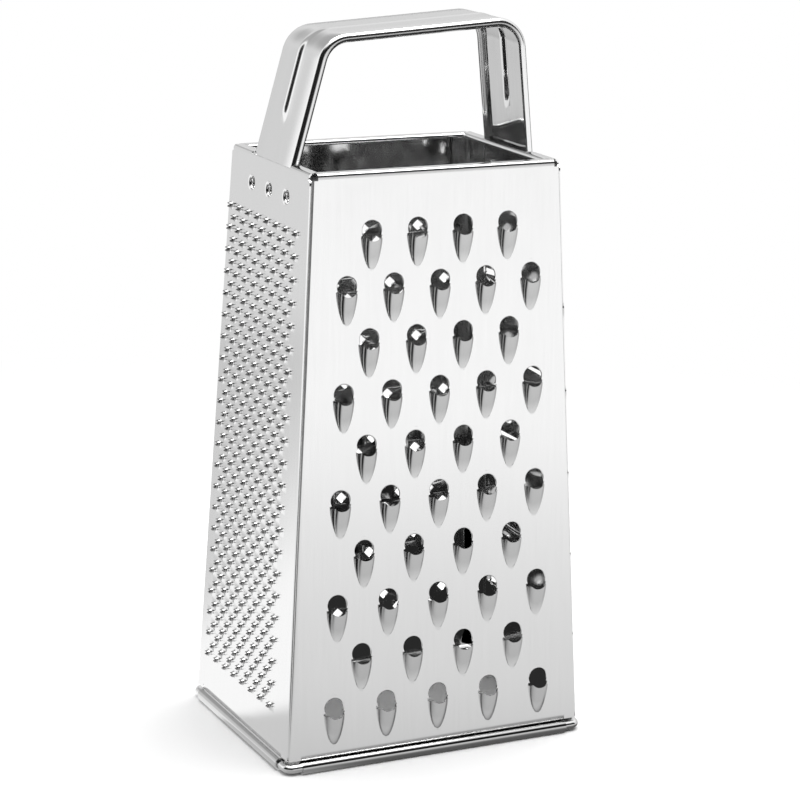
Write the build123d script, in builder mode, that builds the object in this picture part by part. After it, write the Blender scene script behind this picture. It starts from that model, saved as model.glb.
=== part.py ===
from build123d import *
import math
import os

os.makedirs("parts", exist_ok=True)

# A four-sided box grater of stamped sheet steel, in millimetres. The origin is on the surface it stands
# on, below the middle of the body: +X to the right, +Y to the back, +Z up. The coarse side faces -Y, the
# fine side -X, the medium side +Y and the slicing side +X.

# The body: four tapered walls between a rolled bead at the foot and a folded hem at the rim.
rim_height = 184.0  # standing surface to the top of the rim
foot_width = 100.6  # outside of the walls at the foot, left to right
foot_depth = 75.4  # outside of the walls at the foot, front to back
rim_width = 83.2
rim_depth = 61.4
sheet = 0.5  # thickness of the wall sheet
lap_gap = 0.05  # play between two lapped sheets
fold_radius = 1.0  # outside radius of a fold in the wall sheet
flange_width = 12.0  # how far the wide walls lap behind the narrow ones
corner_reveal = 1.1  # strip of the wide wall's fold left bare at each corner
overrun = 1.0  # how far a cut runs past what it cuts

# The hem: the rim folded in to a ledge with a short lip, notched and mitred at the corners.
hem_width = 4.3
hem_lip = 1.0
wide_notch = 3.0  # hem of a wide wall stops this far from the corner
narrow_notch = 1.6
notch_depth = 2.0
mitre_gap = 0.2

# The bead: the foot of each wall rolled outwards round a wire ring, bare at the four corners.
bead_radius = 2.0
bead_side_count = 12  # the bead's round is drawn in flats, one of them down, where it stands
wire_radius = 1.4
wire_side_count = 6  # flats that stand for its round
wide_bead_stop = 5.6  # bead of a wide wall stops this far from the corner
narrow_bead_stop = 7.0
wire_corner_radius = 3.2
skirt_gap = 0.3  # space between the flanges and the bead
curl_open_angle = 55.0  # the rolled edge ends here, above the bead's outer side
curl_close_angle = 80.0

# Coarse teeth: a round bore with a scoop pressed out below it, in rows of four and five.
bore_radius = 3.05
bore_side_count = 10  # sides that stand for each bore's round, of which there are many
scoop_half_width = 3.35
scoop_rise = 2.2
scoop_length = 9.9
scoop_facets = 3
scoop_middle_width_share = 0.83  # width of the scoop halfway down, as a share of its width at the mouth
scoop_drop_share = 0.62  # start of the scoop below the bore's centre, as a share of the bore's radius
coarse_rows = 10
coarse_top_margin = 17.7  # top row's bores below the rim, along the wall
coarse_foot_margin = 15.6  # lowest row's bores above the foot of the wall
coarse_column_share = 0.1785  # column pitch as a share of the wall's width, so that columns fan out

# Fine teeth: small raised points in staggered rows of eight and seven.
fine_rows = 43
fine_columns = 8
fine_top_margin = 19.1
fine_foot_margin = 13.5
fine_front_margin = 9.4  # from the front corner at the top row; the field sits towards the back
fine_back_margin = 2.4
fine_reach = 1.7  # from a point's middle to each of its three corners
fine_rise = 1.1

# Medium teeth: square holes on their corners, in staggered rows.
diamond_diagonal = 3.4
diamond_column_pitch = 10.0
diamond_rows = 30
diamond_top_margin = 28.8
diamond_foot_margin = 12.1
diamond_margin = 8.5  # bare metal between the holes and the corner

# Slicing blades: level slots, each with a crescent of the wall pressed out below it.
blade_count = 5
blade_top_margin = 45.7
blade_foot_margin = 28.5
blade_half_length = 21.0
blade_end = 0.8  # the slot stops this far inside each end of its crescent
blade_slot_height = 2.4
blade_rise = 1.8
blade_drop = 4.3  # height of the pressed crescent below the slot

# The handle: one bent strap with folded edges and a pressed rib, its flat feet inside the narrow walls.
strap_sheet = 0.8
strap_width = 29.0
strap_flange = 2.3
strap_fold = 1.0  # how far the fold at each edge reaches, across and down
strap_bend_drop = 1.4  # the strap leaves the wall this far below the rim
strap_bend_radius = 2.0
bow_half_width = 33.3  # half the distance between the bow's corners
bow_rise = 40.2  # height of the bow's corners above the rim
bow_radius = 10.0
bow_sway = 3.1  # the bow leans to the right by this much
bow_skew = 2.0  # and its right corner is higher, its left corner lower, by this much
rib_half_width = 3.0
rib_top_half_width = 1.3
rib_rise = 1.1
rib_end = 3.0  # length over which the rib runs out
rib_stop = 9.0  # the rib ends this far above the bend
foot_tab_width = 35.0
foot_tab_drop = 21.0  # height of the flat foot below the bend
foot_tab_neck = 2.2  # height over which the foot narrows to the strap
slot_play = 0.3

# The clinches: three collars drawn inwards from each narrow wall and flared behind the strap.
clinch_pitch = 13.35
clinch_drop = 9.5  # below the rim
clinch_bore_radius = 1.8
clinch_wall = 0.35
clinch_entry_radius = 2.3
clinch_flare_radius = 2.9
clinch_side_count = 8  # flats that stand for its rounds


# Sizes that follow from those above.
wall_foot = 2 * bead_radius  # height at which the foot's width and depth are taken
wall_rise = rim_height - wall_foot
side_lean = math.atan((foot_width - rim_width) / 2 / wall_rise)
wide_lean = math.atan((foot_depth - rim_depth) / 2 / wall_rise)
side_slope = wall_rise / math.cos(side_lean)  # height of a narrow wall, along the wall
wide_slope = wall_rise / math.cos(wide_lean)
side_sheet = sheet / math.cos(side_lean)  # sheet measured level, in a narrow wall
wide_sheet = sheet / math.cos(wide_lean)
lap_inset = (sheet + lap_gap) / math.cos(side_lean)
skirt_top = 2 * bead_radius + skirt_gap
shell_top = rim_height - notch_depth


def half_width(z):
    """Half the body's width, outside, at a height."""
    return foot_width / 2 - (z - wall_foot) * math.tan(side_lean)


def half_depth(z):
    """Half the body's depth, outside, at a height."""
    return foot_depth / 2 - (z - wall_foot) * math.tan(wide_lean)


def row_heights(slope, foot_margin, top_margin, count):
    """Heights up a wall of evenly spaced rows, from the top one down."""
    pitch = (slope - foot_margin - top_margin) / (count - 1)
    return [slope - top_margin - row * pitch for row in range(count)]


def tapered_block(inset_x, inset_y, low, high):
    """The body's outer form between two heights, drawn in by an inset on each side."""
    x_low, x_high = half_width(low) - inset_x, half_width(high) - inset_x
    y_low, y_high = half_depth(low) - inset_y, half_depth(high) - inset_y
    with BuildPart() as block:
        Wedge(
            2 * x_low, high - low, 2 * y_low,
            x_low - x_high, y_low - y_high, x_low + x_high, y_low + y_high,
            rotation=(90, 0, 0),
        )
    return block.part.moved(Location((0, 0, (low + high) / 2)))


def hem_profile(edge, level_sheet):
    """Section of the rim, with the wall's outer face at x = edge(z) and the inside towards +x."""
    with BuildSketch() as profile:
        with BuildLine():
            FilletPolyline(
                (edge(shell_top), shell_top),
                (edge(rim_height), rim_height),
                (edge(rim_height) + hem_width, rim_height),
                (edge(rim_height) + hem_width, rim_height - hem_lip - sheet),
                radius=fold_radius,
            )
            offset(amount=sheet, side=Side.RIGHT)
        make_face()
        with BuildLine():
            Polyline(
                (edge(shell_top), shell_top),
                (edge(shell_top) + level_sheet, shell_top),
                (edge(shell_top) + level_sheet, shell_top - overrun),
                (edge(shell_top) - overrun, shell_top - overrun),
                (edge(shell_top) - overrun, shell_top),
                close=True,
            )
        make_face(mode=Mode.SUBTRACT)
    return profile.sketch


def bead_profile(edge, level_sheet):
    """Section of the foot: the wall's last strip and the roll, with the inside towards +x."""
    centre = (edge(wall_foot), bead_radius)
    strip_low = 2 * bead_radius - sheet / 2
    reach = 2 * bead_radius
    half_flat = 180 / bead_side_count
    with BuildSketch() as profile:
        with Locations(centre):
            RegularPolygon(bead_radius, bead_side_count, major_radius=False, rotation=half_flat)
            RegularPolygon(
                bead_radius - sheet, bead_side_count, major_radius=False, rotation=half_flat, mode=Mode.SUBTRACT
            )
            with BuildLine():
                Polyline(
                    (0, 0),
                    (-reach * math.cos(math.radians(curl_open_angle)),
                     reach * math.sin(math.radians(curl_open_angle))),
                    (-reach * math.cos(math.radians(curl_close_angle)),
                     reach * math.sin(math.radians(curl_close_angle))),
                    close=True,
                )
            make_face(mode=Mode.SUBTRACT)
        with BuildLine():
            Polyline(
                (edge(strip_low), strip_low),
                (edge(skirt_top), skirt_top),
                (edge(skirt_top) + level_sheet, skirt_top),
                (edge(strip_low) + level_sheet, strip_low),
                close=True,
            )
        make_face()
    return profile.sketch


def front_edge(z):
    return -half_depth(z)


def left_edge(z):
    return -half_width(z)


# Planes on the walls' outer faces, each with its origin at the foot, +y up the wall and +z outwards.
front_face = Plane(
    origin=(0, -foot_depth / 2, wall_foot),
    x_dir=(1, 0, 0),
    z_dir=(0, -math.cos(wide_lean), math.sin(wide_lean)),
)
back_face = Plane(
    origin=(0, foot_depth / 2, wall_foot),
    x_dir=(-1, 0, 0),
    z_dir=(0, math.cos(wide_lean), math.sin(wide_lean)),
)
left_face = Plane(
    origin=(-foot_width / 2, 0, wall_foot),
    x_dir=(0, -1, 0),
    z_dir=(-math.cos(side_lean), 0, math.sin(side_lean)),
)
right_face = Plane(
    origin=(foot_width / 2, 0, wall_foot),
    x_dir=(0, 1, 0),
    z_dir=(math.cos(side_lean), 0, math.sin(side_lean)),
)


# The wide wall before it is pierced, facing -Y: wall, two flanges, hem and bead.
with BuildPart() as wide_core:
    add(tapered_block(lap_inset + side_sheet, wide_sheet, skirt_top - overrun, shell_top + overrun))
    fillet(wide_core.edges().sort_by(SortBy.LENGTH)[-4:], fold_radius - sheet)

with BuildPart() as wide_hem:
    with BuildSketch(Plane.YZ):
        add(hem_profile(front_edge, wide_sheet))
    extrude(amount=rim_width / 2 - wide_notch, both=True)
    for side in (-1, 1):
        corner = (side * (rim_width / 2 - mitre_gap), -rim_depth / 2, 0)
        split(bisect_by=Plane(origin=corner, z_dir=(-side, -1, 0)), keep=Keep.TOP)

with BuildPart() as wide_blank:
    add(tapered_block(lap_inset, 0, skirt_top, shell_top))
    fillet(wide_blank.edges().sort_by(SortBy.LENGTH)[-4:], fold_radius)
    add(wide_core.part, mode=Mode.SUBTRACT)
    split(bisect_by=front_face.offset(-flange_width), keep=Keep.TOP)
    add(wide_hem.part)
    with BuildSketch(Plane.YZ):
        add(bead_profile(front_edge, wide_sheet))
    extrude(amount=foot_width / 2 - wide_bead_stop, both=True)


# The narrow wall before it is pierced, facing -X. The hem has a slot for the strap's leg.
with BuildPart() as narrow_hem:
    with BuildSketch(Plane.XZ):
        add(hem_profile(left_edge, side_sheet))
    extrude(amount=rim_depth / 2 - narrow_notch, both=True)
    for side in (-1, 1):
        corner = (-rim_width / 2, side * (rim_depth / 2 - mitre_gap), 0)
        split(bisect_by=Plane(origin=corner, z_dir=(-1, -side, 0)), keep=Keep.TOP)
    slot_near = left_edge(rim_height) + sheet
    slot_far = slot_near + strap_flange + 2 * slot_play + strap_bend_drop * math.tan(side_lean) + lap_gap
    with BuildSketch(Plane.XY.offset(rim_height - 2 * sheet)):
        with Locations(((slot_near + slot_far) / 2, 0)):
            Rectangle(slot_far - slot_near, strap_width + 2 * slot_play)
    extrude(amount=2 * sheet + overrun, mode=Mode.SUBTRACT)

with BuildPart() as narrow_blank:
    add(tapered_block(0, corner_reveal, skirt_top, shell_top))
    add(
        tapered_block(side_sheet, corner_reveal - overrun, skirt_top - overrun, shell_top + overrun),
        mode=Mode.SUBTRACT,
    )
    split(bisect_by=Plane.YZ, keep=Keep.BOTTOM)
    add(narrow_hem.part)
    with BuildSketch(Plane.XZ):
        add(bead_profile(left_edge, side_sheet))
    extrude(amount=foot_depth / 2 - narrow_bead_stop, both=True)


# One clinch, drawn along -z from the wall's outer face at z = 0.
clinch_outer_radius = clinch_bore_radius + clinch_wall
clinch_depth = sheet + strap_sheet + 2 * lap_gap + clinch_wall

with BuildPart() as clinch_collar:
    with BuildSketch(Plane.XY.offset(-sheet / 2)):
        RegularPolygon(clinch_outer_radius, clinch_side_count)
    extrude(amount=-(clinch_depth - sheet / 2))
    with BuildSketch(Plane.XY.offset(-clinch_depth)):
        RegularPolygon(clinch_flare_radius, clinch_side_count)
    extrude(amount=clinch_wall)

with BuildPart() as clinch_bore:
    with BuildSketch(Plane.XY.offset(-clinch_depth - overrun)):
        RegularPolygon(clinch_bore_radius, clinch_side_count)
    extrude(amount=clinch_depth + 2 * overrun)
    with BuildSketch():
        RegularPolygon(clinch_entry_radius, clinch_side_count)
    with BuildSketch(Plane.XY.offset(clinch_bore_radius - clinch_entry_radius)):
        RegularPolygon(clinch_bore_radius, clinch_side_count)
    loft()

with BuildPart() as clinch_hole:
    with BuildSketch(Plane.XY.offset(-clinch_depth - overrun)):
        RegularPolygon(clinch_outer_radius + lap_gap, clinch_side_count)
    extrude(amount=clinch_depth + overrun)


def clinch_places(face):
    """Where the three clinches of a narrow wall stand."""
    height = side_slope - clinch_drop
    return [face.location * Location((step * clinch_pitch, height, 0)) for step in (-1, 0, 1)]


# One coarse tooth at the bore's centre, +y up the wall and +z outwards. The scoop is a bullet-shaped
# dome of flat facets about an axis sunk below the wall's face, and hollow by the sheet's thickness.
scoop_radius = (scoop_half_width**2 + scoop_rise**2) / (2 * scoop_rise)
scoop_sink = scoop_radius - scoop_rise
scoop_middle_radius = math.hypot(scoop_half_width * scoop_middle_width_share, scoop_sink)
scoop_spread = math.acos((scoop_sink - sheet) / scoop_radius)
scoop_start = -bore_radius * scoop_drop_share


def scoop_solid(wall, stations):
    """The dome from its mouth to its tip, drawn in by a wall thickness."""
    corners = []
    for share, radius in stations:
        for step in range(scoop_facets + 1):
            turn = scoop_spread * (2 * step / scoop_facets - 1)
            across = (radius - wall) * math.sin(turn)
            out = (radius - wall) * math.cos(turn) - scoop_sink
            corners.append((across, scoop_start - scoop_length * share, out))
    return ConvexPolyhedron(corners, mode=Mode.PRIVATE)


scoop_mouth = (0, scoop_radius)
scoop_middle = (1 / 2, scoop_middle_radius)
scoop_tip = (1, scoop_sink)

with BuildPart() as scoop:
    add(scoop_solid(0, (scoop_mouth, scoop_middle, scoop_tip)))
    split(bisect_by=Plane.XY.offset(-sheet / 2), keep=Keep.TOP)

with BuildPart() as scoop_cut:
    add(scoop_solid(sheet, (scoop_mouth, scoop_tip)))
    with BuildSketch(Plane.XY.offset(-sheet - overrun)):
        RegularPolygon(bore_radius, bore_side_count)
    extrude(amount=sheet + scoop_rise + 2 * overrun)

coarse_heights = row_heights(wide_slope, coarse_foot_margin, coarse_top_margin, coarse_rows)
coarse_places = []
for row, height in enumerate(coarse_heights):
    teeth = 4 + row % 2
    pitch = 2 * half_width(wall_foot + height) * coarse_column_share
    for tooth in range(teeth):
        across = (tooth - (teeth - 1) / 2) * pitch
        coarse_places.append(front_face.location * Location((across, height, 0)))

with BuildPart() as coarse_panel:
    add(wide_blank.part)
    with Locations(*coarse_places):
        add(scoop.part)
    with Locations(*coarse_places):
        add(scoop_cut.part, mode=Mode.SUBTRACT)
coarse_panel.part.label = "coarse_panel"
export_step(coarse_panel.part, "parts/coarse_panel.step")


# The medium side: the same blank turned to the back, pierced with diamond holes.
diamond_heights = row_heights(wide_slope, diamond_foot_margin, diamond_top_margin, diamond_rows)
diamond_places = []
for row, height in enumerate(diamond_heights):
    limit = half_width(wall_foot + height) - diamond_margin
    start = diamond_column_pitch / 2 * (row % 2)
    columns = int((limit - start) // diamond_column_pitch)
    for column in range(columns + 1):
        across = start + column * diamond_column_pitch
        diamond_places.append((across, height))
        if across > 0:
            diamond_places.append((-across, height))

with BuildPart() as medium_panel:
    add(wide_blank.part, rotation=(0, 0, 180))
    with BuildSketch(back_face.offset(-sheet - overrun)):
        with Locations(*diamond_places):
            RegularPolygon(diamond_diagonal / 2, side_count=4)
    extrude(amount=sheet + 2 * overrun, mode=Mode.SUBTRACT)
medium_panel.part.label = "medium_panel"
export_step(medium_panel.part, "parts/medium_panel.step")


# The fine side: small three-faced points, each rooted halfway through the sheet.
root_reach = fine_reach * (1 + sheet / 2 / fine_rise)
fine_corners = [(0, 0, fine_rise)]
for turn in range(0, 360, 120):
    corner = Vector(0, root_reach, -sheet / 2).rotate(Axis.Z, turn)
    fine_corners.append(corner)
fine_point = ConvexPolyhedron(fine_corners)
fine_heights = row_heights(side_slope, fine_foot_margin, fine_top_margin, fine_rows)
fine_half = half_depth(wall_foot + fine_heights[0])
fine_column_pitch = (2 * fine_half - fine_front_margin - fine_back_margin) / (fine_columns - 1)
fine_shift = (fine_front_margin - fine_back_margin) / 2
fine_places = []
for row, height in enumerate(fine_heights):
    columns = fine_columns - row % 2
    for column in range(columns):
        across = (column - (columns - 1) / 2) * fine_column_pitch - fine_shift
        fine_places.append(left_face.location * Location((across, height, 0)))

with BuildPart() as fine_panel:
    add(narrow_blank.part)
    with Locations(*fine_places):
        add(fine_point)
    with Locations(*clinch_places(left_face)):
        add(clinch_collar.part)
    with Locations(*clinch_places(left_face)):
        add(clinch_bore.part, mode=Mode.SUBTRACT)
fine_panel.part.label = "fine_panel"
export_step(fine_panel.part, "parts/fine_panel.step")


# The slicing side: each blade is a crescent pressed out of the wall in a few flats, open at its top.
crescent_shares = (1, 2 / 3, 1 / 3, 0, -1 / 3, -2 / 3, -1)  # places along it, as shares of its half length


def crescent_solid(drop):
    """The crescent below the slot's edge, sunk into the wall by a thickness."""
    corners = []
    for share in crescent_shares:
        fall = 1 - share**2
        across = share * blade_half_length
        corners.append((across, 0, blade_rise * fall - drop))
        corners.append((across, -blade_drop * fall, -drop))
        corners.append((across, 0, -sheet - drop))
        corners.append((across, -blade_drop * fall, -sheet - drop))
    return ConvexPolyhedron(corners, mode=Mode.PRIVATE)


with BuildPart() as blade:
    add(crescent_solid(0))
    split(bisect_by=Plane.XY.offset(-sheet / 2), keep=Keep.TOP)

with BuildPart() as blade_cut:
    add(crescent_solid(sheet))
    with BuildSketch(Plane.XY.offset(-sheet - overrun)):
        with Locations((0, blade_slot_height / 2)):
            Rectangle(2 * (blade_half_length - blade_end), blade_slot_height)
    extrude(amount=sheet + 2 * overrun)

blade_heights = row_heights(side_slope, blade_foot_margin, blade_top_margin, blade_count)
blade_places = [right_face.location * Location((0, height, 0)) for height in blade_heights]

with BuildPart() as slicer_panel:
    add(narrow_blank.part, rotation=(0, 0, 180))
    with Locations(*blade_places):
        add(blade.part)
    with Locations(*blade_places):
        add(blade_cut.part, mode=Mode.SUBTRACT)
    with Locations(*clinch_places(right_face)):
        add(clinch_collar.part)
    with Locations(*clinch_places(right_face)):
        add(clinch_bore.part, mode=Mode.SUBTRACT)
slicer_panel.part.label = "slicer_panel"
export_step(slicer_panel.part, "parts/slicer_panel.step")


# The wire ring inside the bead, bent round the four corners.
with BuildPart() as base_wire:
    with BuildLine(Plane.XY.offset(bead_radius)) as ring:
        FilletPolyline(
            (-foot_width / 2, -foot_depth / 2),
            (foot_width / 2, -foot_depth / 2),
            (foot_width / 2, foot_depth / 2),
            (-foot_width / 2, foot_depth / 2),
            radius=wire_corner_radius,
            close=True,
        )
    with BuildSketch(Plane(origin=ring.line @ 0, z_dir=ring.line % 0)):
        RegularPolygon(wire_radius, wire_side_count, rotation=90)
    sweep()
base_wire.part.label = "base_wire"
export_step(base_wire.part, "parts/base_wire.step")


# The handle's bow: the line of the strap's outer face, from bend to bend.
bend_height = rim_height - strap_bend_drop
bend_x = half_width(bend_height) - lap_inset
left_corner = Vector(-bow_half_width + bow_sway, 0, rim_height + bow_rise - bow_skew)
right_corner = Vector(bow_half_width + bow_sway, 0, rim_height + bow_rise + bow_skew)
left_bend = Vector(-bend_x, 0, bend_height)
right_bend = Vector(bend_x, 0, bend_height)
left_up = (left_corner - left_bend).normalized()
right_up = (right_corner - right_bend).normalized()
left_start = left_bend + left_up * strap_bend_radius
right_start = right_bend + right_up * strap_bend_radius


def bow_line(left_end, right_end):
    """The bow between two points on its legs."""
    with BuildLine() as bow:
        FilletPolyline(left_end, left_corner, right_corner, right_end, radius=bow_radius)
    return bow.line


def across_bow(bow):
    """The plane across the bow's start, +x to the back and +y outwards."""
    return Plane(origin=bow @ 0, x_dir=(0, 1, 0), z_dir=bow % 0)


# The rib, a flat-topped ridge. Its groove behind is the same form, sunk by the strap's thickness.
rib_left = left_bend + left_up * rib_stop
rib_right = right_bend + right_up * rib_stop
rib_line = bow_line(rib_left, rib_right)
rib_stations = (
    Plane(origin=rib_left, x_dir=(0, 1, 0), z_dir=left_up),
    Plane(origin=rib_right, x_dir=(0, -1, 0), z_dir=right_up),
)


def rib_solid(sink, root):
    """The rib along the bow and its two run-outs, sunk by a depth and rooted at another."""
    with BuildPart() as ridge:
        with BuildSketch(across_bow(rib_line)):
            Polygon(
                (-rib_half_width, -root),
                (-rib_half_width, -sink),
                (-rib_top_half_width, rib_rise - sink),
                (rib_top_half_width, rib_rise - sink),
                (rib_half_width, -sink),
                (rib_half_width, -root),
                align=None,
            )
        sweep(path=rib_line)
        for station in rib_stations:
            corners = []
            for side in (-1, 1):
                corners.append((side * rib_half_width, -root, 0))
                corners.append((side * rib_half_width, -sink, 0))
                corners.append((side * rib_top_half_width, rib_rise - sink, 0))
                corners.append((side * rib_top_half_width, -sink, -rib_end))
                corners.append((side * rib_top_half_width, -root, -rib_end))
            add(station.location * ConvexPolyhedron(corners, mode=Mode.PRIVATE))
    return ridge.part


def foot_strip(bend, start, foot):
    """The strap's flat end from the foot's tip to where its folded edges begin."""
    turn = Side.RIGHT if bend.X < 0 else Side.LEFT
    with BuildPart() as strip:
        with BuildSketch(Plane.XZ):
            with BuildLine():
                FilletPolyline(
                    (foot.X, foot.Z), (bend.X, bend.Z), (start.X, start.Z),
                    radius=strap_bend_radius,
                )
                offset(amount=strap_sheet, side=turn)
            make_face()
        extrude(amount=foot_tab_width / 2, both=True)
    return strip.part


tab_low = bend_height - foot_tab_drop
tab_x = half_width(tab_low) - lap_inset
neck_half = strap_width / 2 - strap_fold
tab_high = bend_height - foot_tab_neck

with BuildPart() as feet:
    add(foot_strip(left_bend, left_start, Vector(-tab_x, 0, tab_low)))
    add(foot_strip(right_bend, right_start, Vector(tab_x, 0, tab_low)))
    with BuildSketch(Plane.YZ.offset(-foot_width / 2)) as tab_outline:
        with BuildLine():
            Polyline(
                (-foot_tab_width / 2, tab_low - overrun),
                (-foot_tab_width / 2, tab_high - foot_tab_neck),
                (-neck_half, tab_high),
                (-neck_half, rim_height + overrun),
                (neck_half, rim_height + overrun),
                (neck_half, tab_high),
                (foot_tab_width / 2, tab_high - foot_tab_neck),
                (foot_tab_width / 2, tab_low - overrun),
                close=True,
            )
        make_face()
    extrude(amount=foot_width, mode=Mode.INTERSECT)

strap_line = bow_line(left_start, right_start)
with BuildPart() as handle:
    with BuildSketch(across_bow(strap_line)):
        with BuildLine():
            Polyline(
                (-strap_width / 2, -strap_flange),
                (-strap_width / 2, -strap_fold),
                (-strap_width / 2 + strap_fold, 0),
                (strap_width / 2 - strap_fold, 0),
                (strap_width / 2, -strap_fold),
                (strap_width / 2, -strap_flange),
            )
            offset(amount=strap_sheet, side=Side.RIGHT)
        make_face()
    sweep(path=strap_line)
    add(feet.part)
    add(rib_solid(0, strap_sheet / 2))
    add(rib_solid(strap_sheet, strap_sheet + overrun), mode=Mode.SUBTRACT)
    with Locations(*clinch_places(left_face), *clinch_places(right_face)):
        add(clinch_hole.part, mode=Mode.SUBTRACT)
handle.part.label = "handle"
export_step(handle.part, "parts/handle.step")
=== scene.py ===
import math

import bpy
import numpy as np
from mathutils import Matrix


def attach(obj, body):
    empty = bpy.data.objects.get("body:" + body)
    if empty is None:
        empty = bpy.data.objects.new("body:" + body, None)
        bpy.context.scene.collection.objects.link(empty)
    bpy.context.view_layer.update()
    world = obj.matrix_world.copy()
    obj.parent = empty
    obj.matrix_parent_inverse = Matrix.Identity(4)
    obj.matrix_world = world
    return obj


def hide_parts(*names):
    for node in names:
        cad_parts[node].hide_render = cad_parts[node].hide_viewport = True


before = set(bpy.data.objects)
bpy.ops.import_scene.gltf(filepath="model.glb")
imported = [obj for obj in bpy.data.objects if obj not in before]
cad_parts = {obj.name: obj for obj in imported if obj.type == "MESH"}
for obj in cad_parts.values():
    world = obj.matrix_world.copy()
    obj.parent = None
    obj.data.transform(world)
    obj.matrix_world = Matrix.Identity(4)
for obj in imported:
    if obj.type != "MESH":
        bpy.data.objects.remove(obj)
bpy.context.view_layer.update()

# A box grater of stamped stainless steel. Lengths below are millimetres until a mesh is made.
mm = 0.001

body = {
    "rimHeight": 184.0,
    "wallFoot": 4.0,  # the walls' straight part is measured from this height
    "skirtTop": 4.3,  # foot of the flanges
    "shellTop": 182.0,  # the hem's section starts here
    "rollStart": 5.9,  # the bead's section ends here
    "halfWidth": (50.3, 41.6),  # at the foot and at the rim
    "halfDepth": (37.7, 30.7),
    "sheet": 0.5,
    "lap": 0.55,  # the strap's feet lie this far behind the walls' outer face
    "reveal": 0.75,  # strip of the wide wall's fold left bare at each corner
    "foldRadius": 1.0,
    "flange": 12.0,
    "thinning": 0.7,  # share of the thickness lost where a tile is pressed out by 1 mm
    "gridThinning": 0.5,  # the same beside the tiles
    "shadeFlat": 0.42, "shadeSteep": 1.4,  # painted shade on pressed sheet, level with the wall and off it
}


# Colour: an sRGB hex code turned into linear light, each channel through the standard curve.
def shade(code):
    parts = [int(code[i:i + 2], 16) / 255 for i in (1, 3, 5)]
    return [p / 12.92 if p <= 0.04045 else ((p + 0.055) / 1.055) ** 2.4 for p in parts] + [1.0]


# Adds one shader node with its properties. An input takes a value or another node's output.
def addNode(tree, kind, inputs=None, **properties):
    node = tree.nodes.new("ShaderNode" + kind)
    for key, value in properties.items():
        setattr(node, key, value)
    for key, value in (inputs or {}).items():
        if isinstance(value, bpy.types.NodeSocket):
            tree.links.new(value, node.inputs[key])
        else:
            node.inputs[key].default_value = value
    return node


# The empty node tree of a material or a world.
def emptyTree(owner):
    owner.use_nodes = True
    owner.node_tree.nodes.clear()
    return owner.node_tree


# An object of the scene around its data.
def addObject(name, data):
    made = bpy.data.objects.new(name, data)
    bpy.context.scene.collection.objects.link(made)
    return made


# Steel: bright metal with faint rolling lines, slow waves and soft smears. The lines are really 0.1 mm
# apart, too fine for the image, so they are drawn at the given pitch. The smears turn into roughness
# between two levels, and the lines into a tone from dull to bright.
def steel(name, settings):
    material = bpy.data.materials.new(name)
    tree = emptyTree(material)

    def noise(place, scale, detail, roughness):
        inputs = {"Vector": place, "Scale": scale, "Detail": detail, "Roughness": roughness}
        return addNode(tree, "TexNoise", inputs).outputs["Fac"]

    place = addNode(tree, "TexCoord").outputs["Object"]
    linesMap = addNode(
        tree, "Mapping", {"Vector": place, "Scale": [1000 / pitch for pitch in settings["linePitch"]]})
    lines = noise(linesMap.outputs["Vector"], 1.0, 3.0, 0.6)
    waves = noise(place, 1000 / settings["wavePitch"], 1.0, 0.4)
    smear = noise(place, 1000 / settings["smearPitch"], 4.0, 0.65)
    rough = addNode(
        tree, "MapRange",
        {"Value": smear, "From Min": 0.3, "From Max": 0.7, "To Min": settings["roughness"][0],
         "To Max": settings["roughness"][1]})
    tones = {"Factor": lines, "A": shade(settings["dull"]), "B": shade(settings["bright"])}
    tone = addNode(tree, "Mix", tones, data_type="RGBA")
    # Painted shade: where the sheet is pressed out, and most where it stands steeply off the wall, the colour is
    # mixed towards a darker grey.
    pressed = addNode(tree, "Attribute", attribute_name="pressed")
    paintedShade = addNode(
        tree, "Mix",
        {"Factor": pressed.outputs["Fac"], "A": tone.outputs["Result"], "B": shade(settings["paintedShadeColour"])},
        data_type="RGBA")
    waveBump = addNode(
        tree, "Bump", {"Strength": 1.0, "Distance": settings["waveHeight"] * mm, "Height": waves})
    lineBump = addNode(
        tree, "Bump",
        {"Strength": 1.0, "Distance": settings["lineHeight"] * mm, "Height": lines,
         "Normal": waveBump.outputs["Normal"]})
    shader = addNode(
        tree, "BsdfPrincipled",
        {"Base Color": paintedShade.outputs["Result"], "Metallic": 1.0, "Roughness": rough.outputs["Result"],
         "Normal": lineBump.outputs["Normal"]})
    addNode(tree, "OutputMaterial", {"Surface": shader.outputs["BSDF"]})
    return material


# Bright rolled sheet: the walls. Clean grey metal with soft mirror images.
sheetSteel = steel("bright_annealed_sheet", {
    "linePitch": (0.9, 0.9, 60.0), "lineHeight": 0.0012, "wavePitch": 38.0, "waveHeight": 0.02,
    "smearPitch": 14.0, "roughness": (0.13, 0.17), "dull": "#F5F5F5", "bright": "#FBFBFB", "paintedShadeColour": "#9E9E9E",
})
# Strip steel of the strap: brushed along its length, a little duller.
strapSteel = steel("linished_strip", {
    "linePitch": (60.0, 0.7, 60.0), "lineHeight": 0.002, "wavePitch": 22.0, "waveHeight": 0.01,
    "smearPitch": 9.0, "roughness": (0.14, 0.18), "dull": "#F4F4F4", "bright": "#FAFAFA", "paintedShadeColour": "#F0F0F0",
})
# Drawn wire: smooth and bright with fine lines along it.
wireSteel = steel("drawn_wire", {
    "linePitch": (3.0, 3.0, 0.5), "lineHeight": 0.001, "wavePitch": 9.0, "waveHeight": 0.006,
    "smearPitch": 5.0, "roughness": (0.1, 0.14), "dull": "#EEEEEE", "bright": "#F5F5F5", "paintedShadeColour": "#E6E6E6",
})
# Mill finish: the sheet's inner side as the rolls left it, darker and with no haze.
insideSteel = steel("mill_finish_inside", {
    "linePitch": (0.9, 0.9, 40.0), "lineHeight": 0.002, "wavePitch": 25.0, "waveHeight": 0.03,
    "smearPitch": 10.0, "roughness": (0.06, 0.1), "dull": "#DADADA", "bright": "#E6E6E6", "paintedShadeColour": "#C8C8C8",
})
print("materials made")


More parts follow.
